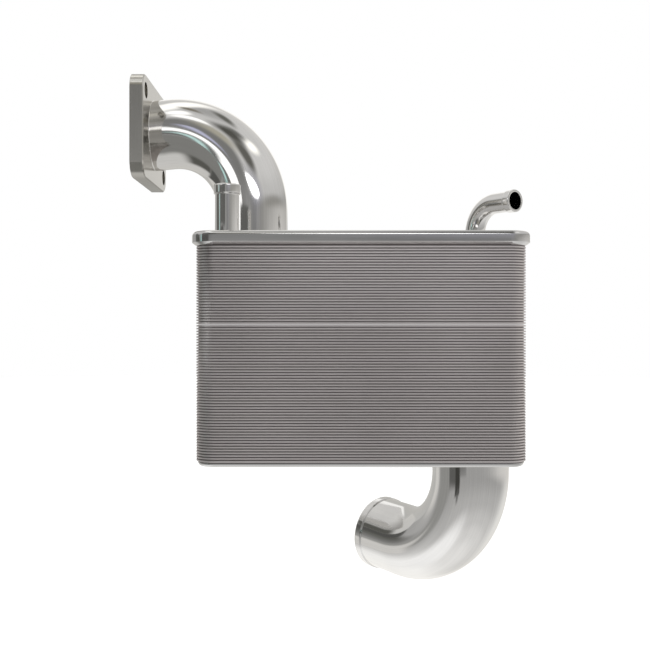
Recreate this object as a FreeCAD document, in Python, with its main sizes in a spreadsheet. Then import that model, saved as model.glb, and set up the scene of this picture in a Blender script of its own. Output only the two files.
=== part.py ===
import FreeCAD, Part
import Sketcher
import math
import os

# Charge-air aftercooler: a brazed stack of flat plates between a cover and a base plate, with an air elbow
# and a bolting flange on top, an air elbow below, and two coolant stubs on the cover.
# The origin is the centre of the inlet flange's mating face, which looks along -X. +Z is up.

Vector = FreeCAD.Vector

# Plates and layers are grouped, bottom to top, so that the group counts times the group sizes fill the stack.
PLATE_GROUP_COUNT = 11
GROUP_PLATE_COUNT = 7
LAYER_GROUP_COUNT = 13
GROUP_LAYER_COUNT = 3
# A plate's rounded corner is cut in this many flats.
CORNER_FLAT_COUNT = 6

DRIVING_SIZES = {
    # plate stack
    "core_length": 257,
    "core_width": 200,
    "core_corner_radius": 15,
    "plate_thickness": 1.2,
    "layer_thickness": 0.968,
    "layer_inset": 6,
    # cover plate on top of the stack
    "cover_thickness": 11,
    "cover_overhang": 3.3,
    "cover_edge_radius": 3.4,
    "cover_bevel": 2.3,
    "cover_seat_depth": 5,
    # base plate under the stack
    "base_thickness": 3.3,
    "base_inset": 1.4,
    "base_edge_radius": 3,
    "base_seat_depth": 2,
    # tubes, and the formed collars at their hose ends
    "seat_clearance": 0.1,
    "air_tube_diameter": 63.5,
    "air_tube_wall": 1.5,
    "coolant_tube_diameter": 19.05,
    "coolant_tube_wall": 1.5,
    "collar_length": 8,
    "collar_rise": 1,
    "collar_chamfer": 0.5,
    # port centres, from the ends and sides of the stack that they stand near
    "air_port_end_inset": 34.5,
    "air_port_side_inset": 67,
    "stub_side_inset": 18.5,
    "front_stub_end_inset": 23.5,
    "rear_stub_end_inset": 11.5,
    # air elbows
    "elbow_radius": 73,
    "elbow_angle": 93.5,
    "inlet_leg": 31,
    "inlet_reach": 92,
    "inlet_turn": 10,
    "outlet_leg": 12.5,
    "outlet_tail": 34,
    "outlet_heading": 129,
    # coolant stubs
    "front_stub_height": 37.6,
    "rear_stub_leg": 15.5,
    "rear_stub_radius": 26.5,
    "rear_stub_angle": 90,
    "rear_stub_tail": 24,
    "rear_stub_heading": -53,
    # inlet flange
    "flange_thickness": 12,
    "flange_height": 91.4,
    "flange_width": 113.2,
    "flange_corner_radius": 14,
    "flange_edge_chamfer": 1,
    "bolt_side_inset": 13.3,
    "bolt_end_inset": 14,
    "bolt_hole_diameter": 14,
}

# Sizes and places that follow from the driving sizes.
PLATE_TOTAL = PLATE_GROUP_COUNT * GROUP_PLATE_COUNT
LAYER_TOTAL = 2 * LAYER_GROUP_COUNT * GROUP_LAYER_COUNT
FOLLOWING_SIZES = {
    "pitch": "dimensions.plate_thickness + dimensions.layer_thickness",
    "stack_height": f"{PLATE_TOTAL} * dimensions.plate_thickness"
                    f" + {LAYER_TOTAL} * dimensions.layer_thickness",
    "air_radius": "dimensions.air_tube_diameter / 2",
    "air_bore": "layout.air_radius - dimensions.air_tube_wall",
    "coolant_radius": "dimensions.coolant_tube_diameter / 2",
    "coolant_bore": "layout.coolant_radius - dimensions.coolant_tube_wall",
    "inlet_run": "dimensions.inlet_reach / cos(dimensions.inlet_turn * 1 deg)",
    "elbow_run": "dimensions.elbow_radius * (1 - cos(dimensions.elbow_angle * 1 deg))",
    "inlet_tail": "(layout.inlet_run - layout.elbow_run) / sin(dimensions.elbow_angle * 1 deg)",
    "inlet_rise": "dimensions.inlet_leg + dimensions.elbow_radius * sin(dimensions.elbow_angle * 1 deg)"
                  " + layout.inlet_tail * cos(dimensions.elbow_angle * 1 deg)",
    "inlet_port_x": "dimensions.flange_thickness + dimensions.inlet_reach",
    "inlet_port_y": "0 - dimensions.inlet_reach * tan(dimensions.inlet_turn * 1 deg)",
    "cover_top_z": "0 - layout.inlet_rise",
    "stack_top_z": "layout.cover_top_z - dimensions.cover_thickness",
    "stack_bottom_z": "layout.stack_top_z - layout.stack_height",
    "base_bottom_z": "layout.stack_bottom_z - dimensions.base_thickness",
    "air_port_x": "dimensions.core_length / 2 - dimensions.air_port_end_inset",
    "air_port_y": "dimensions.core_width / 2 - dimensions.air_port_side_inset",
    "front_stub_x": "dimensions.core_length / 2 - dimensions.front_stub_end_inset",
    "rear_stub_x": "dimensions.core_length / 2 - dimensions.rear_stub_end_inset",
    "stub_y": "dimensions.core_width / 2 - dimensions.stub_side_inset",
    "core_x": "layout.inlet_port_x + layout.air_port_x",
    "core_y": "layout.inlet_port_y - layout.air_port_y",
    "bolt_y": "dimensions.flange_width / 2 - dimensions.bolt_side_inset",
    "bolt_z": "dimensions.flange_height / 2 - dimensions.bolt_end_inset",
}

doc = FreeCAD.newDocument("aftercooler")


def fill_sheet(name, cells, prefix):
    """A sheet with one named value to a row: its alias in column A, the value or its formula in column B."""
    sheet = doc.addObject("Spreadsheet::Sheet", name)
    for row, (alias, value) in enumerate(cells.items(), start=1):
        sheet.set(f"A{row}", alias)
        sheet.setAlias(f"B{row}", alias)
        sheet.set(f"B{row}", f"{prefix}{value}".replace(f"{name}.", ""))
    doc.recompute()
    return sheet


dimensions = fill_sheet("dimensions", DRIVING_SIZES, "")
layout = fill_sheet("layout", FOLLOWING_SIZES, "=")


def new_body(name):
    body = doc.addObject("PartDesign::Body", name)
    body.Label = name
    return body


def place(part, x, y, z, turn="0", upside_down=False):
    """Put a part at x, y, z: turned over about its own X axis if asked, then turned about the vertical."""
    rotation = FreeCAD.Rotation(Vector(0, 0, 1), part.evalExpression(turn))
    if upside_down:
        turned_over = FreeCAD.Rotation(Vector(1, 0, 0), Vector(0, -1, 0), Vector(0, 0, -1), "XYZ")
        rotation = rotation.multiply(turned_over)
    part.Placement = FreeCAD.Placement(Vector(0, 0, 0), rotation)
    part.setExpression("Placement.Base.x", x)
    part.setExpression("Placement.Base.y", y)
    part.setExpression("Placement.Base.z", z)


def new_sketch(body, name, role="XY_Plane"):
    sketch = body.newObject("Sketcher::SketchObject", f"{body.Label}_{name}")
    plane = next(feature for feature in body.Origin.OriginFeatures if feature.Role == role)
    sketch.AttachmentSupport = [(plane, "")]
    sketch.MapMode = "FlatFace"
    return sketch


def pin_point(sketch, geometry, point, x, y):
    """Hold a point of the sketch at x, y from the sketch's origin, both given as expressions."""
    for kind, value in (("DistanceX", x), ("DistanceY", y)):
        here = float(sketch.evalExpression(value))
        index = sketch.addConstraint(Sketcher.Constraint(kind, -1, 1, geometry, point, here))
        sketch.setExpression(f"Constraints[{index}]", value)


def draw_polygon(sketch, corners):
    """A closed outline through corners, each a pair of expressions."""
    points = [Vector(float(sketch.evalExpression(x)), float(sketch.evalExpression(y)), 0) for x, y in corners]
    first = sketch.GeometryCount
    count = len(points)
    for i in range(count):
        sketch.addGeometry(Part.LineSegment(points[i], points[(i + 1) % count]))
    for i in range(count):
        following = first + (i + 1) % count
        sketch.addConstraint(Sketcher.Constraint("Coincident", first + i, 2, following, 1))
        pin_point(sketch, first + i, 1, *corners[i])


def draw_circle(sketch, x, y, radius):
    centre = Vector(float(sketch.evalExpression(x)), float(sketch.evalExpression(y)), 0)
    start = float(sketch.evalExpression(radius))
    index = sketch.addGeometry(Part.Circle(centre, Vector(0, 0, 1), start))
    pin_point(sketch, index, 3, x, y)
    held = sketch.addConstraint(Sketcher.Constraint("Radius", index, start))
    sketch.setExpression(f"Constraints[{held}]", radius)


def draw_rectangle(sketch, length, width):
    """A rectangle about the sketch's origin."""
    half_x = f"({length}) / 2"
    half_y = f"({width}) / 2"
    draw_polygon(sketch, [(f"0 - {half_x}", f"0 - {half_y}"), (half_x, f"0 - {half_y}"),
                          (half_x, half_y), (f"0 - {half_x}", half_y)])


def pad(body, sketch, length):
    feature = body.newObject("PartDesign::Pad", f"{sketch.Name}_pad")
    feature.Profile = sketch
    feature.setExpression("Length", length)
    sketch.Visibility = False
    doc.recompute()
    return feature


def pocket(body, sketch, depth=None, upwards=False):
    """Cut the sketch into the body: through all of it, or to a depth below or above the sketch."""
    before = body.Shape.Volume
    feature = body.newObject("PartDesign::Pocket", f"{sketch.Name}_pocket")
    feature.Profile = sketch
    if depth is None:
        feature.Type = "ThroughAll"
        feature.Midplane = True
    else:
        feature.setExpression("Length", depth)
        feature.Reversed = upwards
    sketch.Visibility = False
    doc.recompute()
    if body.Shape.Volume >= before:
        raise ValueError(f"{feature.Name} cuts nothing")
    return feature


def edge_names(feature, wanted):
    """The names of the feature's edges for which wanted(edge) holds."""
    return [f"Edge{i}" for i, edge in enumerate(feature.Shape.Edges, start=1) if wanted(edge)]


def runs_along(edge, axis):
    """Whether a straight edge lies along the axis."""
    return isinstance(edge.Curve, Part.Line) and abs(abs(edge.Curve.Direction.dot(axis)) - 1) < 1e-6


def lies_at(edge, axis, height):
    """Whether the whole edge lies in the plane at the given height along the axis."""
    return all(abs(vertex.Point.dot(axis) - height) < 1e-6 for vertex in edge.Vertexes)


def fillet(body, base, names, radius, title):
    feature = body.newObject("PartDesign::Fillet", f"{body.Label}_{title}")
    feature.Base = (base, names)
    feature.setExpression("Radius", radius)
    doc.recompute()
    return feature


def chamfer(body, base, names, size, title):
    feature = body.newObject("PartDesign::Chamfer", f"{body.Label}_{title}")
    feature.Base = (base, names)
    feature.setExpression("Size", size)
    doc.recompute()
    return feature


# Plate stack

def plate_corners():
    """A plate's outline, its corners cut in equal flats whose ends lie on the corner's round."""
    corners = []
    for quarter, (side_x, side_y) in enumerate(((1, 1), (-1, 1), (-1, -1), (1, -1))):
        middle_x = f"{side_x} * (dimensions.core_length / 2 - dimensions.core_corner_radius)"
        middle_y = f"{side_y} * (dimensions.core_width / 2 - dimensions.core_corner_radius)"
        for step in range(CORNER_FLAT_COUNT + 1):
            angle = math.radians(90 * (quarter + step / CORNER_FLAT_COUNT))
            corners.append((f"{middle_x} + {math.cos(angle):.6f} * dimensions.core_corner_radius",
                            f"{middle_y} + {math.sin(angle):.6f} * dimensions.core_corner_radius"))
    return corners


def stack_group(name, corners, thickness, count, spacing, bottom):
    """A group of like sheets, one above the other at even spacing."""
    body = new_body(name)
    body.AllowCompound = True
    outline = new_sketch(body, "outline")
    draw_polygon(outline, corners)
    sheet = pad(body, outline, thickness)
    copies = body.newObject("PartDesign::LinearPattern", f"{name}_copies")
    copies.Originals = [sheet]
    copies.Direction = (outline, ["N_Axis"])
    copies.setExpression("Length", f"{count - 1} * {spacing}")
    copies.Occurrences = count
    body.Tip = copies
    place(body, "layout.core_x", "layout.core_y", bottom)
    return body


def build_plates():
    """The parting plates, whose edges show as thin ribs all round the stack."""
    bodies = []
    for group in range(PLATE_GROUP_COUNT):
        lowest = GROUP_PLATE_COUNT * group
        bodies.append(stack_group(
            f"plates_{group + 1:02d}", plate_corners(), "dimensions.plate_thickness", GROUP_PLATE_COUNT,
            "layout.pitch", f"layout.stack_bottom_z + dimensions.layer_thickness + {lowest} * layout.pitch"))
    return bodies


def build_layers():
    """The finned layers between the plates, set back from their edges: coolant and air by turns."""
    half_x = "(dimensions.core_length / 2 - dimensions.layer_inset)"
    half_y = "(dimensions.core_width / 2 - dimensions.layer_inset)"
    corners = [(half_x, half_y), (f"0 - {half_x}", half_y),
               (f"0 - {half_x}", f"0 - {half_y}"), (half_x, f"0 - {half_y}")]
    bodies = []
    for group in range(LAYER_GROUP_COUNT):
        for offset, kind in enumerate(("coolant_layers", "air_layers")):
            lowest = 2 * GROUP_LAYER_COUNT * group + offset
            bodies.append(stack_group(
                f"{kind}_{group + 1:02d}", corners, "dimensions.layer_thickness", GROUP_LAYER_COUNT,
                "2 * layout.pitch", f"layout.stack_bottom_z + {lowest} * layout.pitch"))
    return bodies


# Cover plate and base plate

def rounded_plate(name, length, width, thickness, corner_radius):
    """A flat plate about its own origin, standing on the XY plane, with rounded corners."""
    body = new_body(name)
    outline = new_sketch(body, "outline")
    draw_rectangle(outline, length, width)
    slab = pad(body, outline, thickness)
    upright = edge_names(slab, lambda edge: runs_along(edge, Vector(0, 0, 1)))
    return body, fillet(body, slab, upright, corner_radius, "corners")


def build_cover():
    """The thick cover: rounded along the top, bevelled underneath to the outline of the plates."""
    body, slab = rounded_plate(
        "cover_plate",
        "dimensions.core_length + 2 * dimensions.cover_overhang",
        "dimensions.core_width + 2 * dimensions.cover_overhang",
        "dimensions.cover_thickness", "dimensions.core_corner_radius + dimensions.cover_overhang")
    up = Vector(0, 0, 1)
    under = edge_names(slab, lambda edge: lies_at(edge, up, 0))
    bevel = body.newObject("PartDesign::Chamfer", "cover_bevel")
    bevel.Base = (slab, under)
    bevel.ChamferType = "Two distances"
    bevel.setExpression("Size", "dimensions.cover_overhang")
    bevel.setExpression("Size2", "dimensions.cover_bevel")
    doc.recompute()
    top = dimensions.cover_thickness
    above = edge_names(bevel, lambda edge: lies_at(edge, up, top))
    fillet(body, bevel, above, "dimensions.cover_edge_radius", "edge")
    ports = (
        ("0 - layout.air_port_x", "layout.air_port_y", "air"),
        ("0 - layout.front_stub_x", "0 - layout.stub_y", "coolant"),
        ("layout.rear_stub_x", "layout.stub_y", "coolant"),
    )
    bores = new_sketch(body, "bores")
    seats = new_sketch(body, "seats")
    seats.setExpression("AttachmentOffset.Base.z", "dimensions.cover_thickness")
    for x, y, kind in ports:
        draw_circle(bores, x, y, f"layout.{kind}_bore")
        draw_circle(seats, x, y, f"layout.{kind}_radius + dimensions.seat_clearance")
    pocket(body, bores)
    pocket(body, seats, "dimensions.cover_seat_depth")
    place(body, "layout.core_x", "layout.core_y", "layout.stack_top_z")
    return body


def build_base():
    """The thinner base plate, a little smaller than the plates, with the outlet tube's seat below."""
    body, slab = rounded_plate(
        "base_plate",
        "dimensions.core_length - 2 * dimensions.base_inset",
        "dimensions.core_width - 2 * dimensions.base_inset",
        "dimensions.base_thickness", "dimensions.core_corner_radius - dimensions.base_inset")
    below = edge_names(slab, lambda edge: lies_at(edge, Vector(0, 0, 1), 0))
    fillet(body, slab, below, "dimensions.base_edge_radius", "edge")
    bore = new_sketch(body, "bore")
    draw_circle(bore, "layout.air_port_x", "0 - layout.air_port_y", "layout.air_bore")
    pocket(body, bore)
    seat = new_sketch(body, "seat")
    draw_circle(seat, "layout.air_port_x", "0 - layout.air_port_y",
                "layout.air_radius + dimensions.seat_clearance")
    pocket(body, seat, "dimensions.base_seat_depth", upwards=True)
    place(body, "layout.core_x", "layout.core_y", "layout.base_bottom_z")
    return body


# Tubes

def bent_tube(name, kind, leg, radius, angle, tail, collar=True):
    """A tube that runs up from the origin, bends over towards +X and ends in a straight tail."""
    body = new_body(name)
    turn = f"({angle}) * 1 deg"
    bend_x = f"{radius} * (1 - cos({turn}))"
    bend_y = f"{leg} + {radius} * sin({turn})"
    end_x = f"{bend_x} + ({tail}) * sin({turn})"
    end_y = f"{bend_y} + ({tail}) * cos({turn})"

    path = new_sketch(body, "path", "XZ_Plane")
    stops = [("0", "0"), ("0", leg), (bend_x, bend_y), (end_x, end_y)]
    points = [[float(path.evalExpression(value)) for value in stop] for stop in stops]
    foot, heel, toe, tip = [Vector(x, y, 0) for x, y in points]
    centre_x = float(path.evalExpression(radius))
    half_turn = math.radians(float(path.evalExpression(angle)))
    circle = Part.Circle(Vector(centre_x, heel.y, 0), Vector(0, 0, 1), centre_x)
    path.addGeometry(Part.LineSegment(foot, heel))
    path.addGeometry(Part.ArcOfCircle(circle, math.pi - half_turn, math.pi))
    path.addGeometry(Part.LineSegment(toe, tip))
    path.addConstraint(Sketcher.Constraint("Coincident", -1, 1, 0, 1))
    path.addConstraint(Sketcher.Constraint("Coincident", 0, 2, 1, 2))
    path.addConstraint(Sketcher.Constraint("Coincident", 1, 1, 2, 1))
    pin_point(path, 0, 2, *stops[1])
    pin_point(path, 1, 3, radius, leg)
    pin_point(path, 2, 2, *stops[3])
    along = float(path.evalExpression(bend_x))
    held = path.addConstraint(Sketcher.Constraint("DistanceX", -1, 1, 2, 1, along))
    path.setExpression(f"Constraints[{held}]", bend_x)

    section = new_sketch(body, "section")
    draw_circle(section, "0", "0", f"layout.{kind}_radius")
    draw_circle(section, "0", "0", f"layout.{kind}_bore")
    doc.recompute()
    tube = body.newObject("PartDesign::AdditivePipe", f"{name}_tube")
    tube.Profile = (section, [""])
    tube.Spine = (path, ["Edge1", "Edge2", "Edge3"])
    doc.recompute()
    if collar:
        ring = new_sketch(body, "collar", "XZ_Plane")
        ring.AttachmentOffset = FreeCAD.Placement(
            Vector(0, 0, 0), FreeCAD.Rotation(Vector(0, 0, 1), -float(path.evalExpression(angle))))
        ring.setExpression("AttachmentOffset.Base.x", end_x)
        ring.setExpression("AttachmentOffset.Base.y", end_y)
        draw_polygon(ring, collar_section(kind, "0"))
        turned = body.newObject("PartDesign::Revolution", f"{name}_collar")
        turned.Profile = ring
        turned.ReferenceAxis = (ring, ["V_Axis"])
        turned.Angle = 360
        doc.recompute()
    return body


def collar_section(kind, end):
    """Half the section of a hose collar: x from the tube's axis, y along it, the tube's end at y = end."""
    root = f"layout.{kind}_radius - dimensions.{kind}_tube_wall / 2"
    skin = f"layout.{kind}_radius"
    crest = f"{skin} + dimensions.collar_rise"
    bite = "dimensions.collar_chamfer"
    return [
        (root, f"{end} - dimensions.collar_length"),
        (skin, f"{end} - dimensions.collar_length"),
        (crest, f"{end} - dimensions.collar_length + dimensions.collar_rise"),
        (crest, f"{end} - {bite}"),
        (f"{crest} - {bite}", end),
        (root, end),
    ]


def build_inlet_elbow():
    """The inlet elbow: up from the cover, over to the left, and cut flush against the back of the flange."""
    spare = "layout.air_radius * tan(dimensions.inlet_turn * 1 deg) + dimensions.flange_thickness / 2"
    bend = bent_tube(
        "inlet_bend", "air", "dimensions.inlet_leg + dimensions.cover_seat_depth",
        "dimensions.elbow_radius", "dimensions.elbow_angle", f"layout.inlet_tail + {spare}", collar=False)
    place(bend, "layout.inlet_port_x", "layout.inlet_port_y",
          "layout.cover_top_z - dimensions.cover_seat_depth", turn="180 - dimensions.inlet_turn")
    trim = doc.addObject("Part::Box", "inlet_trim")
    trim.setExpression("Length", "4 * dimensions.flange_thickness")
    trim.setExpression("Width", "2 * dimensions.flange_width")
    trim.setExpression("Height", "2 * dimensions.flange_width")
    trim.setExpression("Placement.Base.x", "0 - 3 * dimensions.flange_thickness")
    trim.setExpression("Placement.Base.y", "0 - dimensions.flange_width")
    trim.setExpression("Placement.Base.z", "0 - dimensions.flange_width")
    elbow = doc.addObject("Part::Cut", "inlet_elbow")
    elbow.Label = "inlet_elbow"
    elbow.Base = bend
    elbow.Tool = trim
    return elbow


def build_outlet_elbow():
    """The outlet elbow: down from the base plate, bent over to the left and away, with a hose collar."""
    body = bent_tube(
        "outlet_elbow", "air", "dimensions.outlet_leg + dimensions.base_seat_depth",
        "dimensions.elbow_radius", "dimensions.elbow_angle", "dimensions.outlet_tail")
    place(body, "layout.core_x + layout.air_port_x", "layout.core_y - layout.air_port_y",
          "layout.base_bottom_z + dimensions.base_seat_depth", turn="dimensions.outlet_heading",
          upside_down=True)
    return body


def build_rear_stub():
    """The rear coolant stub, bent over towards the front and the right."""
    body = bent_tube(
        "rear_coolant_stub", "coolant", "dimensions.rear_stub_leg + dimensions.cover_seat_depth",
        "dimensions.rear_stub_radius", "dimensions.rear_stub_angle", "dimensions.rear_stub_tail")
    place(body, "layout.core_x + layout.rear_stub_x", "layout.core_y + layout.stub_y",
          "layout.cover_top_z - dimensions.cover_seat_depth", turn="dimensions.rear_stub_heading")
    return body


def build_front_stub():
    """The front coolant stub, a straight turned tube that stands on the cover."""
    body = new_body("front_coolant_stub")
    half = new_sketch(body, "half", "XZ_Plane")
    height = "dimensions.front_stub_height + dimensions.cover_seat_depth"
    rim = collar_section("coolant", height)[1:-1]
    draw_polygon(half, [("layout.coolant_bore", "0"), ("layout.coolant_radius", "0")] + rim
                 + [("layout.coolant_bore", height)])
    tube = body.newObject("PartDesign::Revolution", "front_coolant_stub_turned")
    tube.Profile = half
    tube.ReferenceAxis = (half, ["V_Axis"])
    tube.Angle = 360
    place(body, "layout.core_x - layout.front_stub_x", "layout.core_y - layout.stub_y",
          "layout.cover_top_z - dimensions.cover_seat_depth")
    return body


# Inlet flange

def build_flange():
    """The two-bolt inlet flange, with its bolt holes on one diagonal."""
    body = new_body("inlet_flange")
    along = Vector(1, 0, 0)
    outline = new_sketch(body, "outline", "YZ_Plane")
    draw_rectangle(outline, "dimensions.flange_width", "dimensions.flange_height")
    slab = pad(body, outline, "dimensions.flange_thickness")
    corners = edge_names(slab, lambda edge: runs_along(edge, along))
    rounded = fillet(body, slab, corners, "dimensions.flange_corner_radius", "corners")
    far = dimensions.flange_thickness
    rims = edge_names(rounded, lambda edge: lies_at(edge, along, far))
    chamfer(body, rounded, rims, "dimensions.flange_edge_chamfer", "edges")
    holes = new_sketch(body, "holes", "YZ_Plane")
    draw_circle(holes, "0", "0", "layout.air_bore")
    draw_circle(holes, "0 - layout.bolt_y", "layout.bolt_z",
                "dimensions.bolt_hole_diameter / 2")
    draw_circle(holes, "layout.bolt_y", "0 - layout.bolt_z",
                "dimensions.bolt_hole_diameter / 2")
    pocket(body, holes)
    return body


parts = build_plates() + build_layers()
parts += [build_cover(), build_base(), build_flange(), build_inlet_elbow(), build_outlet_elbow()]
parts += [build_front_stub(), build_rear_stub()]
doc.recompute()

for item in doc.Objects:
    if "Invalid" in item.State or "Error" in item.State:
        raise ValueError(f"{item.Label} is {item.State}")
for part in parts:
    if part.Shape.isNull() or not part.Shape.isValid():
        raise ValueError(f"{part.Label} has no valid shape")

os.makedirs("parts", exist_ok=True)
for part in parts:
    part.Shape.exportStep(f"parts/{part.Label}.step")
    print(part.Label, len(part.Shape.Solids), round(part.Shape.Volume, 1))
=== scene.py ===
import math
import bmesh
import bpy
from mathutils import Matrix, Vector


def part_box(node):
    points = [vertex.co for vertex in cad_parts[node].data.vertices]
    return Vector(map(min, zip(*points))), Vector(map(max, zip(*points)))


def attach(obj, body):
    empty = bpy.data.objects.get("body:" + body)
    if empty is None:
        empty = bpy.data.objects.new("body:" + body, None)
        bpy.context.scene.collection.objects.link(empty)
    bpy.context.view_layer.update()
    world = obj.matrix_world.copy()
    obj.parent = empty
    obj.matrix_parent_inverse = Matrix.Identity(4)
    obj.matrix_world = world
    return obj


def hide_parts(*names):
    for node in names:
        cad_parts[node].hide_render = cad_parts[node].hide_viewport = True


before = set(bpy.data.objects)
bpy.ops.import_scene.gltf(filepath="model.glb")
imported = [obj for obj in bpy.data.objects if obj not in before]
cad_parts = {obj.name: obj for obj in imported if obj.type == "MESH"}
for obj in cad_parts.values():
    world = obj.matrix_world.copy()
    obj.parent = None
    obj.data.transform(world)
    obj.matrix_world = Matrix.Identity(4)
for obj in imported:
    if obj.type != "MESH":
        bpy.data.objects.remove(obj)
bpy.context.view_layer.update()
mm = 0.001

# Plate stack. Thin stainless sheets with rounded corners, brazed in a stack with a layer of fins between
# each two, so that each edge stands out as a narrow rib all round. The edges are sheared and lightly
# tumbled, and show a satin grain along them.

PLATE_HALF_LENGTH = 128.5 * mm
PLATE_HALF_WIDTH = 100 * mm
PLATE_CORNER = 15 * mm
PLATE_EDGE_ROUND = 0.16 * mm
PLATE_THICKNESS = 1.2 * mm
PLATE_PITCH = 2.168 * mm
PLATES_IN_GROUP = 7
PLATE_STEEL = (0.80, 0.757, 0.753)
PLATE_CORNER_STEPS = 10
CREASE = 35


def rounded_outline(half_x, half_y, corner, steps):
    """Points round a rounded rectangle, starting at the right of the first corner."""
    points = []
    for quarter, (side_x, side_y) in enumerate(((1, 1), (-1, 1), (-1, -1), (1, -1))):
        for step in range(steps + 1):
            angle = math.radians(90 * (quarter + step / steps))
            points.append((side_x * (half_x - corner) + corner * math.cos(angle),
                           side_y * (half_y - corner) + corner * math.sin(angle)))
    return points


def loft(bm, rings, cap=True, closed=False):
    """Quads between rings of equally many points, with the first and last ring capped or joined up.
    The UV map runs round each ring and from ring to ring in metres, which the grain follows."""
    uv = bm.loops.layers.uv.verify()
    rows = [[bm.verts.new(point) for point in ring] for ring in rings]
    count = len(rings[0])
    around = [0.0]
    for i in range(count):
        around.append(around[-1] + (Vector(rings[0][(i + 1) % count]) - Vector(rings[0][i])).length)
    along = [0.0]
    for first, second in zip(rings, rings[1:]):
        along.append(along[-1] + (Vector(second[0]) - Vector(first[0])).length)
    pairs = list(zip(range(len(rows) - 1), range(1, len(rows))))
    if closed:
        pairs.append((len(rows) - 1, 0))
    for low, high in pairs:
        for i in range(count):
            j = (i + 1) % count
            face = bm.faces.new((rows[low][i], rows[low][j], rows[high][j], rows[high][i]))
            face.smooth = True
            corners = ((i, low), (i + 1, low), (i + 1, high), (i, high))
            for loop, (column, row) in zip(face.loops, corners):
                loop[uv].uv = (around[column], along[row])
    if cap:
        for row, reverse in ((rows[0], True), (rows[-1], False)):
            face = bm.faces.new(list(reversed(row)) if reverse else row)
            for loop in face.loops:
                loop[uv].uv = (loop.vert.co.x, loop.vert.co.y)
    return rows


def make_piece(name, bm, material, nodes=(), sharp=CREASE):
    """Turn the finished mesh into a piece that rides the part, wears a material and stands for CAD nodes.
    Edges that fold by more than the sharp angle, in degrees, stay crisp."""
    bmesh.ops.recalc_face_normals(bm, faces=bm.faces)
    mesh = bpy.data.meshes.new(name)
    bm.to_mesh(mesh)
    bm.free()
    mesh.set_sharp_from_angle(angle=math.radians(sharp))
    piece = bpy.data.objects.new(name, mesh)
    bpy.context.scene.collection.objects.link(piece)
    mesh.materials.append(material)
    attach(piece, "root")
    if nodes:
        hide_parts(*nodes)
    return piece


def add_node(tree, kind, links=None, values=None, **settings):
    """A new shader node, with its settings, its linked sockets and its plain values."""
    node = tree.nodes.new(kind)
    for setting, value in settings.items():
        setattr(node, setting, value)
    for socket, value in (values or {}).items():
        node.inputs[socket].default_value = value
    for socket, source in (links or {}).items():
        tree.links.new(source, node.inputs[socket])
    return node


def steel(name, colour, roughness, spread, grain_scale, grain_depth, blotch, coords="UV", edge_tint=1.0):
    """A worked steel surface: drawn grain from stretched noise, cloudy roughness and slight changes of tone.
    The edge tint is how bright the metal stays where it is seen at a grazing angle."""
    material = bpy.data.materials.new(name)
    material.use_nodes = True
    tree = material.node_tree
    place = add_node(tree, "ShaderNodeTexCoord")
    stretch = add_node(tree, "ShaderNodeMapping", {"Vector": place.outputs[coords]}, {"Scale": grain_scale})
    grain = add_node(tree, "ShaderNodeTexNoise", {"Vector": stretch.outputs["Vector"]},
                     {"Scale": 1.0, "Detail": 6.0, "Roughness": 0.65})
    cloud = add_node(tree, "ShaderNodeTexNoise", {"Vector": place.outputs["Object"]},
                     {"Scale": blotch, "Detail": 4.0})
    both = add_node(tree, "ShaderNodeMath", {0: grain.outputs["Fac"], 1: cloud.outputs["Fac"]},
                    operation="ADD")
    rough = add_node(tree, "ShaderNodeMapRange", {"Value": both.outputs["Value"]}, {
        "From Min": 0.7, "From Max": 1.3, "To Min": roughness - spread, "To Max": roughness + spread,
    })
    shade = add_node(tree, "ShaderNodeMapRange", {"Value": both.outputs["Value"]},
                     {"From Min": 0.6, "From Max": 1.4})
    darker = [channel * 0.90 for channel in colour]
    lighter = [min(1.0, channel * 1.08) for channel in colour]
    tone = add_node(tree, "ShaderNodeMix", {"Factor": shade.outputs["Result"]},
                    {"A": (*darker, 1), "B": (*lighter, 1)}, data_type="RGBA")
    bump = add_node(tree, "ShaderNodeBump", {"Height": grain.outputs["Fac"]},
                    {"Strength": 1.0, "Distance": grain_depth})

    shader = tree.nodes["Principled BSDF"]
    shader.inputs["Metallic"].default_value = 1.0
    shader.inputs["Specular Tint"].default_value = (edge_tint, edge_tint * 0.985, edge_tint * 0.955, 1)
    tree.links.new(rough.outputs["Result"], shader.inputs["Roughness"])
    tree.links.new(tone.outputs["Result"], shader.inputs["Base Color"])
    tree.links.new(bump.outputs["Normal"], shader.inputs["Normal"])
    return material


def slab_rings(middle, half_x, half_y, corner, levels, steps):
    """Rings of a flat slab with rounded corners, one for each pair of inset and height."""
    rings = []
    for inset, height in levels:
        outline = rounded_outline(half_x - inset, half_y - inset, corner - inset, steps)
        rings.append([(middle.x + x, middle.y + y, height) for x, y in outline])
    return rings


def add_plate(bm, middle, bottom):
    """One plate: its flat sheet with softened edges."""
    top = bottom + PLATE_THICKNESS
    levels = ((PLATE_EDGE_ROUND, bottom), (0, bottom + PLATE_EDGE_ROUND),
              (0, top - PLATE_EDGE_ROUND), (PLATE_EDGE_ROUND, top))
    loft(bm, slab_rings(middle, PLATE_HALF_LENGTH, PLATE_HALF_WIDTH, PLATE_CORNER, levels,
                        PLATE_CORNER_STEPS))


plate_steel = steel("plate_edge_steel", PLATE_STEEL, roughness=0.40, spread=0.03,
                    grain_scale=(8, 900, 1), grain_depth=0.0006 * mm, blotch=12, edge_tint=0.6)
plate_nodes = sorted(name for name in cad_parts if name.startswith("plates_"))
for node in plate_nodes:
    low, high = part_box(node)
    mesh = bmesh.new()
    for step in range(PLATES_IN_GROUP):
        add_plate(mesh, (low + high) / 2, low.z + step * PLATE_PITCH)
    make_piece(f"rib_{node}", mesh, plate_steel, [node], sharp=25)

# Finned layers between the plates. Folded fin sheet, closed all round by an edge bar that stands a little
# back from the plates' edges and is brazed to them, with a small fillet of braze above and below.

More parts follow.
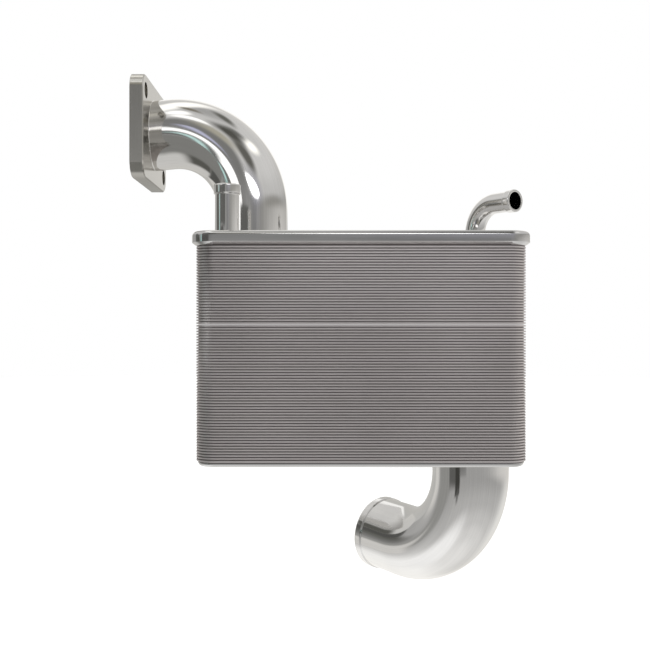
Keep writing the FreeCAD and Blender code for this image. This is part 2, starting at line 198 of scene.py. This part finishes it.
LAYER_THICKNESS = 0.968 * mm
LAYERS_IN_GROUP = 3
BAR_INSET = 1.5 * mm
TOP_BAR_INSET = 0.6 * mm
BAR_WIDTH = 1.6 * mm
BAR_CORNER_STEPS = 8
BRAZE_FILLET = 0.22 * mm
FILLET_HOLLOW = 0.3 * BRAZE_FILLET
LAYER_STEEL = (0.34, 0.33, 0.32)
# The bars' dark colour is painted shade, standing in for the shade that falls in the gaps between the
# plates.
BAR_PAINTED_SHADE = (0.26, 0.238, 0.236)


def add_bar(bm, middle, bottom, set_back):
    """One edge bar: a closed band round the layer, with a braze fillet along its upper and lower edge."""
    top = bottom + LAYER_THICKNESS
    face = ((-BRAZE_FILLET, bottom), (-FILLET_HOLLOW, bottom + FILLET_HOLLOW), (0, bottom + BRAZE_FILLET),
            (0, top - BRAZE_FILLET), (-FILLET_HOLLOW, top - FILLET_HOLLOW), (-BRAZE_FILLET, top))
    back = ((BAR_WIDTH, top), (BAR_WIDTH, bottom))
    levels = [(set_back + step_in, height) for step_in, height in face + back]
    rings = slab_rings(middle, PLATE_HALF_LENGTH, PLATE_HALF_WIDTH, PLATE_CORNER, levels, BAR_CORNER_STEPS)
    loft(bm, rings, cap=False, closed=True)


layer_steel = steel("layer_steel", LAYER_STEEL, roughness=0.5, spread=0.08,
                    grain_scale=(40, 40, 3000), grain_depth=0.02 * mm, blotch=40, coords="Object")
# The bars' material carries the painted shade of the gaps, and below it also a painted glow.
bar_shade_and_glow = steel("edge_bar_painted_shade_and_glow", BAR_PAINTED_SHADE, roughness=0.42, spread=0.04,
                  grain_scale=(8, 900, 1), grain_depth=0.0006 * mm, blotch=30)

# The bar right under the cover stands further out than the others.
top_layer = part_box("cover_plate")[0].z - PLATE_PITCH
for name in sorted(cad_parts):
    if "_layers_" in name:
        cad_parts[name].material_slots[0].material = layer_steel
        low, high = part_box(name)
        mesh = bmesh.new()
        for step in range(LAYERS_IN_GROUP):
            bottom = low.z + 2 * step * PLATE_PITCH
            add_bar(mesh, (low + high) / 2, bottom, TOP_BAR_INSET if bottom > top_layer else BAR_INSET)
        make_piece(f"bars_{name}", mesh, bar_shade_and_glow, sharp=30)

# One air layer lies level with the eye. Its closed edge bars glow all round with a painted light that stands
# in for daylight through the fins.
GLOW_BAND_LOW = -175.6 * mm
GLOW_BAND_HIGH = -174.65 * mm
PAINTED_GLOW_COLOUR = (1, 0.98, 0.985, 1)
PAINTED_GLOW_STRENGTH = 0.36
tree = bar_shade_and_glow.node_tree
spot = add_node(tree, "ShaderNodeTexCoord")
height = add_node(tree, "ShaderNodeSeparateXYZ", {"Vector": spot.outputs["Object"]})
above = add_node(tree, "ShaderNodeMath", {0: height.outputs["Z"]}, {1: GLOW_BAND_LOW},
                 operation="GREATER_THAN")
below = add_node(tree, "ShaderNodeMath", {0: height.outputs["Z"]}, {1: GLOW_BAND_HIGH},
                 operation="LESS_THAN")
inside = add_node(tree, "ShaderNodeMath", {0: above.outputs["Value"], 1: below.outputs["Value"]},
                  operation="MULTIPLY")
# Painted glow: emission on the bars within that band of height, not light from any lamp.
painted_glow = add_node(tree, "ShaderNodeMath", {0: inside.outputs["Value"]}, {1: PAINTED_GLOW_STRENGTH},
                    operation="MULTIPLY")
shader = tree.nodes["Principled BSDF"]
shader.inputs["Emission Color"].default_value = PAINTED_GLOW_COLOUR
tree.links.new(painted_glow.outputs["Value"], shader.inputs["Emission Strength"])

# Cover plate. Thick machined stainless plate, rounded along its top edge and bevelled underneath to the
# outline of the plates. It is brazed to the stack and polished on its edges.

COVER_OVERHANG = 3.3 * mm
COVER_EDGE = 3.4 * mm
COVER_BEVEL = 2.3 * mm
BEVEL_BREAK = 0.1 * mm
COVER_STEEL = (0.66, 0.655, 0.65)
SLAB_CORNER_STEPS = 16
ROUND_SEGMENTS = 96
AIR_RADIUS = 31.75 * mm
AIR_BORE = 30.25 * mm
COOLANT_RADIUS = 9.525 * mm
COOLANT_BORE = 8.025 * mm
SEAT_CLEARANCE = 0.1 * mm
SEAT_DEPTH = 5 * mm
UP = Vector((0, 0, 1))


def round_edge(radius, steps=8):
    """Inset and distance from the face, along a quarter round from the face out to the side."""
    angles = [math.pi / 2 * step / steps for step in range(steps + 1)]
    return [(radius * (1 - math.sin(angle)), radius * (1 - math.cos(angle))) for angle in angles]


def bore(piece, centre, axis, radius, depth):
    """Cut a round bore into a finished piece, half its depth to each side of the centre."""
    turn = axis.to_track_quat("Z", "Y").to_matrix().to_4x4()
    cutter_mesh = bmesh.new()
    bmesh.ops.create_cone(cutter_mesh, cap_ends=True, segments=ROUND_SEGMENTS, radius1=radius,
                          radius2=radius, depth=depth, matrix=Matrix.Translation(centre) @ turn)
    mesh = bpy.data.meshes.new("cutter")
    cutter_mesh.to_mesh(mesh)
    cutter_mesh.free()
    cutter = bpy.data.objects.new("cutter", mesh)
    bpy.context.scene.collection.objects.link(cutter)
    cut = piece.modifiers.new("bore", "BOOLEAN")
    cut.object = cutter
    cut.operation = "DIFFERENCE"
    cut.solver = "EXACT"
    bored = bpy.data.meshes.new_from_object(piece.evaluated_get(bpy.context.evaluated_depsgraph_get()))
    piece.modifiers.remove(cut)
    bored.name = piece.data.name
    piece.data = bored
    bored.set_sharp_from_angle(angle=math.radians(CREASE))
    bpy.data.objects.remove(cutter)


cover_steel = steel("cover_steel", COVER_STEEL, roughness=0.11, spread=0.025,
                    grain_scale=(25, 1800, 1), grain_depth=0.002 * mm, blotch=18)
low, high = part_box("cover_plate")
bevel_top = low.z + COVER_BEVEL
levels = [(COVER_OVERHANG, low.z), (3 * BEVEL_BREAK, bevel_top - 2 * BEVEL_BREAK),
          (0, bevel_top + BEVEL_BREAK)]
levels += [(inset, high.z - drop) for inset, drop in reversed(round_edge(COVER_EDGE))]
mesh = bmesh.new()
loft(mesh, slab_rings((low + high) / 2, (high.x - low.x) / 2, (high.y - low.y) / 2,
                      PLATE_CORNER + COVER_OVERHANG, levels, SLAB_CORNER_STEPS))
cover = make_piece("cover", mesh, cover_steel, ["cover_plate"], sharp=20)

# Each tube stands in a seat cut round its port, and its bore goes on through the plate.
THROUGH = 60 * mm
inlet_port = Vector((104 * mm, -16.222 * mm, high.z))
front_port = Vector((93 * mm, -130.722 * mm, high.z))
rear_port = Vector((315 * mm, 32.278 * mm, high.z))
for port, skin, inner in ((inlet_port, AIR_RADIUS, AIR_BORE), (front_port, COOLANT_RADIUS, COOLANT_BORE),
                          (rear_port, COOLANT_RADIUS, COOLANT_BORE)):
    bore(cover, port, UP, inner, THROUGH)
    bore(cover, port, UP, skin + SEAT_CLEARANCE, 2 * SEAT_DEPTH)

# Base plate. A thinner machined plate under the stack, slightly smaller than the plates and rounded along
# its lower edge. It is brazed to the lowest layer.

BASE_CORNER = 13.6 * mm
BASE_EDGE = 3 * mm
BASE_TAPER = 0.15 * mm
BASE_SEAT_DEPTH = 2 * mm
low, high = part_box("base_plate")
levels = [(inset, low.z + rise) for inset, rise in round_edge(BASE_EDGE)]
levels += [(BASE_TAPER, high.z)]
mesh = bmesh.new()
loft(mesh, slab_rings((low + high) / 2, (high.x - low.x) / 2, (high.y - low.y) / 2, BASE_CORNER, levels,
                      SLAB_CORNER_STEPS))
base = make_piece("base", mesh, cover_steel, ["base_plate"], sharp=20)
outlet_port = Vector((292 * mm, -82.222 * mm, low.z))
bore(base, outlet_port, UP, AIR_BORE, THROUGH)
bore(base, outlet_port, UP, AIR_RADIUS + SEAT_CLEARANCE, 2 * BASE_SEAT_DEPTH)

# Inlet elbow. A bent stainless tube, polished bright, that rises from the cover plate, bends over to the
# left and ends against the back of the flange.

ELBOW_RADIUS = 73 * mm
ELBOW_ANGLE = math.radians(93.5)
INLET_TURN = math.radians(10)
INLET_RISE = 31 * mm
INLET_TAIL = 15.99 * mm
AIR_RING_GAP = 2.2 * mm
TUBE_STEEL = (0.80, 0.79, 0.775)


def centreline(route, distance):
    """Where a tube's centre is at a distance from its foot, in the plane of its bend: across, up and lean.
    The route is the length of its leg, and the radius and angle of its bend."""
    leg, radius, angle = route
    if distance <= leg:
        return 0.0, distance, 0.0
    lean = min((distance - leg) / radius, angle)
    across = radius * (1 - math.cos(lean))
    up = leg + radius * math.sin(lean)
    rest = distance - leg - radius * lean
    return across + rest * math.sin(lean), up + rest * math.cos(lean), lean


def tube_length(route, tail):
    """The length of a tube along its centre: its leg, its bend and its straight tail."""
    leg, radius, angle = route
    return leg + radius * angle + tail


def tube_rings(place, route, profile, segments=ROUND_SEGMENTS):
    """Rings of a tube along its route, for pairs of distance from the foot and tube radius."""
    rings = []
    for distance, size in profile:
        across, up, lean = centreline(route, distance)
        centre = Vector((across, 0, up))
        out = Vector((math.cos(lean), 0, -math.sin(lean)))
        side = Vector((0, 1, 0))
        turns = [2 * math.pi * i / segments for i in range(segments)]
        rings.append([place @ (centre + size * (math.cos(turn) * out + math.sin(turn) * side))
                      for turn in turns])
    return rings


def stations(length, gap):
    """Evenly spaced distances from a tube's foot up to a length, no more than a gap apart."""
    count = math.ceil(length / gap)
    return [length * i / count for i in range(count + 1)]


polished_steel = steel("polished_tube_steel", TUBE_STEEL, roughness=0.075, spread=0.02,
                       grain_scale=(900, 12, 1), grain_depth=0.002 * mm, blotch=14)
inlet_place = (Matrix.Translation(inlet_port - SEAT_DEPTH * UP)
               @ Matrix.Rotation(math.pi - INLET_TURN, 4, "Z"))
inlet_route = (INLET_RISE + SEAT_DEPTH, ELBOW_RADIUS, ELBOW_ANGLE)

# The tube is made too long and then cut off flat along the back of the flange, which it meets at a slant.
SPARE_LENGTH = 7 * mm
cut_length = tube_length(inlet_route, INLET_TAIL) + SPARE_LENGTH
back_of_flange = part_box("inlet_flange")[1].x
profile = [(distance, AIR_RADIUS) for distance in stations(cut_length, AIR_RING_GAP)]
profile += [(distance, AIR_BORE) for distance in reversed(stations(cut_length, 2 * AIR_RING_GAP))]
mesh = bmesh.new()
loft(mesh, tube_rings(inlet_place, inlet_route, profile), cap=False, closed=True)
bmesh.ops.bisect_plane(mesh, geom=mesh.verts[:] + mesh.edges[:] + mesh.faces[:],
                       plane_co=(back_of_flange, 0, 0), plane_no=(-1, 0, 0), clear_outer=True)
make_piece("inlet_tube", mesh, polished_steel, ["inlet_elbow"])

# Inlet flange. A machined stainless plate with rounded corners, a bore and two bolt holes on one diagonal.
# The end of the elbow sits against its back and is welded there all round.

FLANGE_CORNER = 14 * mm
FLANGE_CORNER_STEPS = 12
FLANGE_EDGE = 1 * mm
FLANGE_FACE_EDGE = 0.4 * mm
FLANGE_STEEL = (0.61, 0.595, 0.56)
BOLT_HOLE_RADIUS = 7 * mm
BOLT_ACROSS = 43.3 * mm
BOLT_UP = 31.7 * mm
ALONG = Vector((1, 0, 0))

flange_steel = steel("flange_steel", FLANGE_STEEL, roughness=0.18, spread=0.03,
                     grain_scale=(25, 1800, 1), grain_depth=0.002 * mm, blotch=20, edge_tint=0.72)
low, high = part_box("inlet_flange")
outlines = []
for inset, x in ((FLANGE_FACE_EDGE, low.x), (0, low.x + FLANGE_FACE_EDGE), (0, high.x - FLANGE_EDGE),
                 (FLANGE_EDGE, high.x)):
    outline = rounded_outline(high.y - inset, high.z - inset, FLANGE_CORNER - inset, FLANGE_CORNER_STEPS)
    outlines.append([(x, y, z) for y, z in outline])
mesh = bmesh.new()
loft(mesh, outlines)
flange = make_piece("flange", mesh, flange_steel, ["inlet_flange"], sharp=20)
for y, z, radius in ((0, 0, AIR_BORE), (-BOLT_ACROSS, BOLT_UP, BOLT_HOLE_RADIUS),
                     (BOLT_ACROSS, -BOLT_UP, BOLT_HOLE_RADIUS)):
    bore(flange, Vector(((low.x + high.x) / 2, y, z)), ALONG, radius, THROUGH)

# Welds. A small fillet of stainless weld, dressed smooth and polished with the tubes, runs round each tube
# where it meets a plate or the flange.

FLANGE_WELD = 0.5 * mm
AIR_WELD = 0.8 * mm
COOLANT_WELD = 0.6 * mm


def weld_ring(name, place, radius, size, lean=0.0):
    """A concave fillet round a tube that rises from a face. A leaning tube gives it an oval foot."""
    bm = bmesh.new()
    rings = []
    for away, up in ((1, 0), (0.62, 0.14), (0.35, 0.35), (0.14, 0.62), (0, 1), (-0.3, 1)):
        reach = radius + size * away
        shift = size * up * math.tan(lean)
        turns = [2 * math.pi * i / ROUND_SEGMENTS for i in range(ROUND_SEGMENTS)]
        rings.append([place @ Vector((reach * math.cos(turn) / math.cos(lean) + shift,
                                      reach * math.sin(turn), size * up)) for turn in turns])
    loft(bm, rings, cap=False)
    make_piece(name, bm, polished_steel, sharp=60)


weld_place = (Matrix.Translation((back_of_flange, 0, 0)) @ Matrix.Rotation(math.pi / 2, 4, "Z")
              @ Matrix.Rotation(math.pi / 2, 4, "X"))
weld_ring("inlet_flange_weld", weld_place, AIR_RADIUS, FLANGE_WELD, -INLET_TURN)
weld_ring("inlet_foot_weld", Matrix.Translation(inlet_port), AIR_RADIUS, AIR_WELD)

# Outlet elbow. The same tube as the inlet, hanging from the base plate and bent over to the left and away.
# A raised collar is formed at its end to hold a hose.

COLLAR_RISE = 1 * mm
COLLAR_LENGTH = 8 * mm
OUTLET_DROP = 14.5 * mm
OUTLET_TAIL = 34 * mm
OUTLET_HEADING = math.radians(129)
UPSIDE_DOWN = Matrix.Rotation(math.pi, 4, "X")


def collar_profile(end, skin, inner):
    """Distances and radii round a formed hose collar and over its lip to the bore."""
    crest = skin + COLLAR_RISE
    start = end - COLLAR_LENGTH
    return [
        (start - 0.5 * mm, skin),
        (start - 0.1 * mm, skin + 0.02 * mm),
        (start + 0.15 * mm, skin + 0.15 * mm),
        (start + 0.7 * mm, crest - 0.2 * mm),
        (start + 1.0 * mm, crest - 0.03 * mm),
        (start + 1.4 * mm, crest),
        (start + 2.0 * mm, crest),
        (end - 1.4 * mm, crest),
        (end - 0.8 * mm, crest - 0.02 * mm),
        (end - 0.35 * mm, crest - 0.18 * mm),
        (end - 0.1 * mm, crest - 0.45 * mm),
        (end, crest - 0.8 * mm),
        (end, inner + 0.5 * mm),
        (end - 0.1 * mm, inner + 0.2 * mm),
        (end - 0.5 * mm, inner),
    ]


def collared_tube(name, node, place, route, tail, skin, inner, gap, segments=ROUND_SEGMENTS):
    """A tube with a hose collar at its end, in place of its node. The gap is the step from ring to ring
    outside, and inside it is twice that."""
    end = tube_length(route, tail)
    profile = [(distance, skin) for distance in stations(end - COLLAR_LENGTH - 1 * mm, gap)]
    profile += collar_profile(end, skin, inner)
    profile += [(distance, inner) for distance in reversed(stations(end - 2 * mm, 2 * gap))]
    bm = bmesh.new()
    loft(bm, tube_rings(place, route, profile, segments), cap=False, closed=True)
    make_piece(name, bm, polished_steel, [node])


outlet_place = (Matrix.Translation(outlet_port + BASE_SEAT_DEPTH * UP)
                @ Matrix.Rotation(OUTLET_HEADING, 4, "Z") @ UPSIDE_DOWN)
outlet_route = (OUTLET_DROP, ELBOW_RADIUS, ELBOW_ANGLE)
collared_tube("outlet_tube", "outlet_elbow", outlet_place, outlet_route, OUTLET_TAIL, AIR_RADIUS, AIR_BORE,
              AIR_RING_GAP)
weld_ring("outlet_foot_weld", Matrix.Translation(outlet_port) @ UPSIDE_DOWN, AIR_RADIUS, AIR_WELD)

# Coolant stubs. Small stainless tubes on the cover plate, one upright and one bent over towards the front,
# each with a raised collar for its hose and welded in its seat.

STUB_SEGMENTS = 64
STUB_BEND_RADIUS = 26.5 * mm
FRONT_ROUTE = (42.6 * mm, STUB_BEND_RADIUS, 0)
REAR_ROUTE = (20.5 * mm, STUB_BEND_RADIUS, math.radians(90))
REAR_TAIL = 24 * mm
REAR_HEADING = math.radians(-53)

front_place = Matrix.Translation(front_port - SEAT_DEPTH * UP)
collared_tube("front_stub", "front_coolant_stub", front_place, FRONT_ROUTE, 0, COOLANT_RADIUS, COOLANT_BORE,
              3 * mm, STUB_SEGMENTS)
weld_ring("front_stub_weld", Matrix.Translation(front_port), COOLANT_RADIUS, COOLANT_WELD)

rear_turn = Matrix.Rotation(REAR_HEADING, 4, "Z")
rear_place = Matrix.Translation(rear_port - SEAT_DEPTH * UP) @ rear_turn
collared_tube("rear_stub", "rear_coolant_stub", rear_place, REAR_ROUTE, REAR_TAIL, COOLANT_RADIUS,
              COOLANT_BORE, 1.2 * mm, STUB_SEGMENTS)
weld_ring("rear_stub_weld", Matrix.Translation(rear_port) @ rear_turn, COOLANT_RADIUS, COOLANT_WELD)

# Studio. A white room with soft panels and a few darker walls, which the polished metal mirrors, a pale
# floor well below the part, and a level camera with a 50 mm lens at the height of the layer with the painted
# glow.

world = bpy.data.worlds.new("studio")
bpy.context.scene.world = world
world.use_nodes = True
sky = world.node_tree
sky.nodes.clear()
direction = add_node(sky, "ShaderNodeTexCoord").outputs["Generated"]

# How bright the walls are, from straight down at 0 to straight up at 1. They are a little warm.
WALL_TONES = (
    (0.0, 0.90), (0.07, 0.76), (0.14, 0.64), (0.25, 0.52), (0.41, 0.41), (0.5, 0.46), (0.587, 0.42),
    (0.66, 0.62), (0.80, 0.72), (0.95, 0.66), (0.975, 0.60), (0.99, 0.47), (1.0, 0.42),
)
height = add_node(sky, "ShaderNodeSeparateXYZ", {"Vector": direction})
level = add_node(sky, "ShaderNodeMapRange", {"Value": height.outputs["Z"]}, {"From Min": -1, "From Max": 1})
walls = add_node(sky, "ShaderNodeValToRGB", {"Fac": level.outputs["Result"]})
ramp = walls.color_ramp
ramp.interpolation = "EASE"
while len(ramp.elements) < len(WALL_TONES):
    ramp.elements.new(0.5)
for element, (position, tone) in zip(ramp.elements, WALL_TONES):
    element.position = position
    element.color = (tone, tone * 0.995, tone * 0.985, 1)


def panel_mask(azimuth, elevation, half_width, half_height, softness):
    """1 inside an oval panel that stands in a direction, 0 outside, with a soft rim. Angles are in degrees,
    and azimuth 0 is +Y, 90 is +X."""
    turn = add_node(sky, "ShaderNodeMapping", {"Vector": direction}, {
        "Rotation": (math.radians(elevation), 0, math.radians(-azimuth)),
        "Scale": (math.sin(math.radians(half_width)), 1, math.sin(math.radians(half_height))),
    }, vector_type="TEXTURE")
    flat = add_node(sky, "ShaderNodeVectorMath", {0: turn.outputs["Vector"]}, {1: (1, 0, 1)},
                    operation="MULTIPLY")
    length = add_node(sky, "ShaderNodeVectorMath", {0: flat.outputs["Vector"]}, operation="LENGTH")
    rim = add_node(sky, "ShaderNodeMapRange", {"Value": length.outputs["Value"]},
                   {"From Min": 1 + softness, "From Max": 1 - softness}, interpolation_type="SMOOTHSTEP")
    parts = add_node(sky, "ShaderNodeSeparateXYZ", {"Vector": turn.outputs["Vector"]})
    ahead = add_node(sky, "ShaderNodeMath", {0: parts.outputs["Y"]}, {1: 0.0}, operation="GREATER_THAN")
    mask = add_node(sky, "ShaderNodeMath", {0: rim.outputs["Result"], 1: ahead.outputs["Value"]},
                    operation="MULTIPLY")
    return mask.outputs["Value"]


PANELS = (
    # azimuth, elevation, half width, half height, softness, colour
    (318, -50, 34, 24, 0.5, (1.1, 1.1, 1.09)),
    (357, -5, 30, 46, 0.12, (1.08, 1.08, 1.08)),
    (248, -56, 32, 15, 0.5, (1.05, 1.05, 1.05)),
    (42, -28, 26, 22, 0.7, (0.86, 0.86, 0.85)),
    (305, 73, 28, 9, 0.4, (1.35, 1.34, 1.30)),
    (219, 61, 6, 8, 0.35, (1.35, 1.35, 1.33)),
    (203, 50, 9, 5, 0.25, (1.35, 1.35, 1.33)),
    (112, 52, 13, 5.5, 0.6, (1.5, 1.48, 1.4)),
    (238, 80, 8, 3.5, 0.6, (0.22, 0.20, 0.16)),
    (70, 76, 11, 6, 0.6, (0.15, 0.15, 0.135)),
    (138, 62, 11, 5.5, 0.7, (0.18, 0.18, 0.17)),
    (160, 55, 13, 9, 0.6, (0.09, 0.09, 0.08)),
    (157, 38, 12, 12, 0.5, (0.14, 0.138, 0.125)),
    (203, 24, 20, 19, 0.35, (0.22, 0.22, 0.215)),
    (188, 38, 10, 7, 0.8, (0.45, 0.43, 0.36)),
    (178, 7.5, 24, 4, 0.5, (0.25, 0.25, 0.255)),
    (157, 3, 26, 7, 0.5, (0.20, 0.20, 0.195)),
    (160, 17, 14, 8, 0.9, (0.43, 0.43, 0.48)),
    (100, 11, 46, 5, 0.6, (0.34, 0.335, 0.315)),
    (280, 10, 7, 13, 0.5, (0.12, 0.12, 0.11)),
    (190, 2, 13, 8, 0.6, (0.34, 0.34, 0.335)),
    (240, 0, 40, 9, 0.3, (0.21, 0.21, 0.205)),
    (308, -9, 12, 8, 0.5, (0.72, 0.71, 0.69)),
    (272, -12, 20, 6, 0.35, (0.32, 0.32, 0.31)),
    (229, 4, 9, 7, 0.4, (0.085, 0.085, 0.08)),
    (249, 4, 3.6, 9, 0.4, (0.52, 0.74, 0.72)),
    (267.5, 4, 7.5, 8, 0.35, (0.10, 0.105, 0.09)),
    (74, -2, 60, 10, 0.5, (0.76, 0.745, 0.725)),
)
light = walls.outputs["Color"]
for azimuth, elevation, half_width, half_height, softness, colour in PANELS:
    mask = panel_mask(azimuth, elevation, half_width, half_height, softness)
    panel = add_node(sky, "ShaderNodeMix", {"Factor": mask, "A": light}, {"B": (*colour, 1)},
                     data_type="RGBA")
    light = panel.outputs["Result"]

# The camera sees plain white behind the part, and everything else sees the room.
room = add_node(sky, "ShaderNodeBackground", {"Color": light}, {"Strength": 1.0})
white = add_node(sky, "ShaderNodeBackground", values={"Color": (1, 1, 1, 1)})
rays = add_node(sky, "ShaderNodeLightPath")
choose = add_node(sky, "ShaderNodeMixShader", {
    "Fac": rays.outputs["Is Camera Ray"], 1: room.outputs["Background"], 2: white.outputs["Background"],
})
add_node(sky, "ShaderNodeOutputWorld", {"Surface": choose.outputs["Shader"]})

# The lamp is one soft box, in front of the part and above it. Its power gives it the named brightness.
SOFT_BOX_BRIGHTNESS = 1.9
soft_box = bpy.data.lights.new("soft_box", "AREA")
soft_box.shape = "ELLIPSE"
soft_box.size = 0.40
soft_box.size_y = 0.14
soft_box.energy = SOFT_BOX_BRIGHTNESS * math.pi * math.pi / 4 * soft_box.size * soft_box.size_y
soft_box.color = (0.98, 0.98, 1.0)
lamp = bpy.data.objects.new("soft_box", soft_box)
lamp.location = (0.26, -0.673, 0.139)
lamp.rotation_euler = (math.radians(90), 0, 0)
lamp.visible_camera = False
bpy.context.scene.collection.objects.link(lamp)


def soft_band(tree, value, half, softness):
    """1 within a band about the middle, 0 outside, with soft edges."""
    away = add_node(tree, "ShaderNodeMath", {0: value}, operation="ABSOLUTE")
    fade = add_node(tree, "ShaderNodeMapRange", {"Value": away.outputs["Value"]},
                    {"From Min": half + softness, "From Max": half - softness},
                    interpolation_type="SMOOTHSTEP")
    return fade.outputs["Result"]


def card(name, place, patches):
    """A flat card that only the metal mirrors, with soft-edged patches of light or shade on it. Each patch
    has its middle across and up, its half width and height, its lean in degrees, the softness of its rim and
    its colour. Later patches lie over earlier ones."""
    paint = bpy.data.materials.new(name)
    paint.use_nodes = True
    tree = paint.node_tree
    tree.nodes.clear()
    spot = add_node(tree, "ShaderNodeTexCoord")
    surface = add_node(tree, "ShaderNodeBsdfTransparent").outputs["BSDF"]
    reach_across = 0
    reach_up = 0
    for across, up, half_across, half_up, lean, softness, colour in patches:
        reach_across = max(reach_across, abs(across) + half_across + softness)
        reach_up = max(reach_up, abs(up) + half_up + softness)
        turn = add_node(tree, "ShaderNodeMapping", {"Vector": spot.outputs["Object"]},
                        {"Location": (across, 0, up), "Rotation": (0, math.radians(lean), 0)},
                        vector_type="TEXTURE")
        parts = add_node(tree, "ShaderNodeSeparateXYZ", {"Vector": turn.outputs["Vector"]})
        patch = add_node(tree, "ShaderNodeMath", {
            0: soft_band(tree, parts.outputs["X"], half_across, softness),
            1: soft_band(tree, parts.outputs["Z"], half_up, softness),
        }, operation="MULTIPLY")
        glow = add_node(tree, "ShaderNodeEmission", values={"Color": (*colour, 1)})
        blend = add_node(tree, "ShaderNodeMixShader",
                         {"Fac": patch.outputs["Value"], 1: surface, 2: glow.outputs["Emission"]})
        surface = blend.outputs["Shader"]
    add_node(tree, "ShaderNodeOutputMaterial", {"Surface": surface})

    mesh = bpy.data.meshes.new(name)
    corners = [(x * reach_across, 0, z * reach_up) for x, z in ((1, -1), (-1, -1), (-1, 1), (1, 1))]
    mesh.from_pydata(corners, [], [(0, 1, 2, 3)])
    mesh.materials.append(paint)
    sheet = bpy.data.objects.new(name, mesh)
    sheet.matrix_world = place
    sheet.visible_camera = False
    sheet.visible_diffuse = False
    sheet.visible_shadow = False
    bpy.context.scene.collection.objects.link(sheet)


# A wall with a bright window, in front of the part and to its left.
WALL_DISTANCE = 1.2
wall_turn = Matrix.Rotation(math.radians(-221), 4, "Z")
wall_middle = Vector((0.10, -0.04, -0.30)) + wall_turn @ Vector((0, WALL_DISTANCE, 0))
card("window_wall", Matrix.Translation(wall_middle) @ wall_turn, (
    (0.24, -0.15, 0.43, 0.18, 0, 0.06, (0.13, 0.13, 0.125)),
    (-0.03, -0.21, 0.15, 0.24, 0, 0.03, (0.055, 0.055, 0.05)),
    (-0.06, -0.45, 0.05, 0.10, 0, 0.06, (0.12, 0.12, 0.115)),
    (-0.40, -0.08, 0.24, 0.12, 0, 0.05, (0.12, 0.12, 0.115)),
    (0.14, 0.18, 0.42, 0.12, 5, 0.03, (0.17, 0.17, 0.165)),
    (-0.02, 0.145, 0.17, 0.03, 38, 0.025, (0.66, 0.92, 0.89)),
    (0.20, 0.045, 0.13, 0.035, 0, 0.03, (0.62, 0.90, 0.87)),
    (0.41, 0.115, 0.15, 0.04, -20, 0.03, (0.62, 0.90, 0.87)),
    (-0.29, 0.69, 0.06, 0.13, 15, 0.05, (0.60, 0.61, 0.80)),
    (0.040, 0.395, 0.25, 0.15, 28, 0.025, (1.5, 1.5, 1.5)),
))

# A dark card close to the upright stub and the corner of the cover.
stub_turn = Matrix.Rotation(math.radians(-210), 4, "Z")
card("stub_card", Matrix.Translation((0.030, -0.2145, -0.0665)) @ stub_turn, (
    (0, 0, 0.047, 0.0205, 0, 0.003, (0.13, 0.13, 0.125)),
    (0.016, -0.0445, 0.030, 0.025, 0, 0.003, (0.11, 0.11, 0.105)),
))

# A pale card behind the part.
card("back_card", Matrix.Translation((-0.06, 0.60, -0.22)), (
    (0, 0, 0.44, 0.22, 0, 0.03, (0.56, 0.56, 0.55)),
))

# A card that lies level to the left of the part, pale behind and darker in front.
side_turn = Matrix.Rotation(math.radians(-90), 4, "X")
card("side_card", Matrix.Translation((-0.40, 0, -0.20)) @ side_turn, (
    (0.245, 0.30, 0.20, 0.40, 0, 0.02, (0.66, 0.655, 0.64)),
    (-0.20, 0.085, 0.25, 0.195, 0, 0.04, (0.10, 0.10, 0.095)),
    (0.165, -0.01, 0.125, 0.10, 0, 0.04, (0.11, 0.11, 0.10)),
    (0, -0.41, 0.44, 0.35, 0, 0.035, (0.24, 0.24, 0.23)),
))

# A small pale card that stands to the left of the outlet and a little below it.
tail_turn = Matrix.Rotation(math.radians(90), 4, "Z")
card("tail_card", Matrix.Translation((-0.20, 0.05, -0.51)) @ tail_turn, (
    (0, 0, 0.075, 0.075, 0, 0.02, (0.72, 0.71, 0.69)),
))

# The floor is a large pale disc, as white to the camera as the background. The metal doesn't mirror it.
FLOOR_LEVEL = -1.0
FLOOR_RADIUS = 14
FLOOR_GLOW = 0.6
floor_paint = bpy.data.materials.new("floor_paint")
floor_paint.use_nodes = True
tree = floor_paint.node_tree
tree.nodes.clear()
matt = add_node(tree, "ShaderNodeBsdfDiffuse", values={"Color": (0.9, 0.9, 0.9, 1)})
rays = add_node(tree, "ShaderNodeLightPath")
strength = add_node(tree, "ShaderNodeMath", {0: rays.outputs["Is Camera Ray"]}, {1: FLOOR_GLOW},
                    operation="MULTIPLY")
glow = add_node(tree, "ShaderNodeEmission", {"Strength": strength.outputs["Value"]})
both = add_node(tree, "ShaderNodeAddShader", {0: matt.outputs["BSDF"], 1: glow.outputs["Emission"]})
add_node(tree, "ShaderNodeOutputMaterial", {"Surface": both.outputs["Shader"]})

disc = bmesh.new()
bmesh.ops.create_circle(disc, cap_ends=True, segments=ROUND_SEGMENTS, radius=FLOOR_RADIUS,
                        matrix=Matrix.Translation((0.17, 0, FLOOR_LEVEL)))
floor_mesh = bpy.data.meshes.new("floor")
disc.to_mesh(floor_mesh)
disc.free()
floor_mesh.materials.append(floor_paint)
floor = bpy.data.objects.new("floor", floor_mesh)
floor.visible_glossy = False
bpy.context.scene.collection.objects.link(floor)

# The camera is level and looks straight at the long side of the part.
lens = bpy.data.cameras.new("camera")
lens.lens = 50
lens.sensor_width = 36
lens.clip_end = 50
camera = bpy.data.objects.new("camera", lens)
camera.location = (0.1699, -0.84006, -0.1755)
camera.rotation_euler = (math.radians(90), 0, 0)
bpy.context.scene.collection.objects.link(camera)
bpy.context.scene.camera = camera
bpy.context.scene.view_settings.view_transform = "Standard"
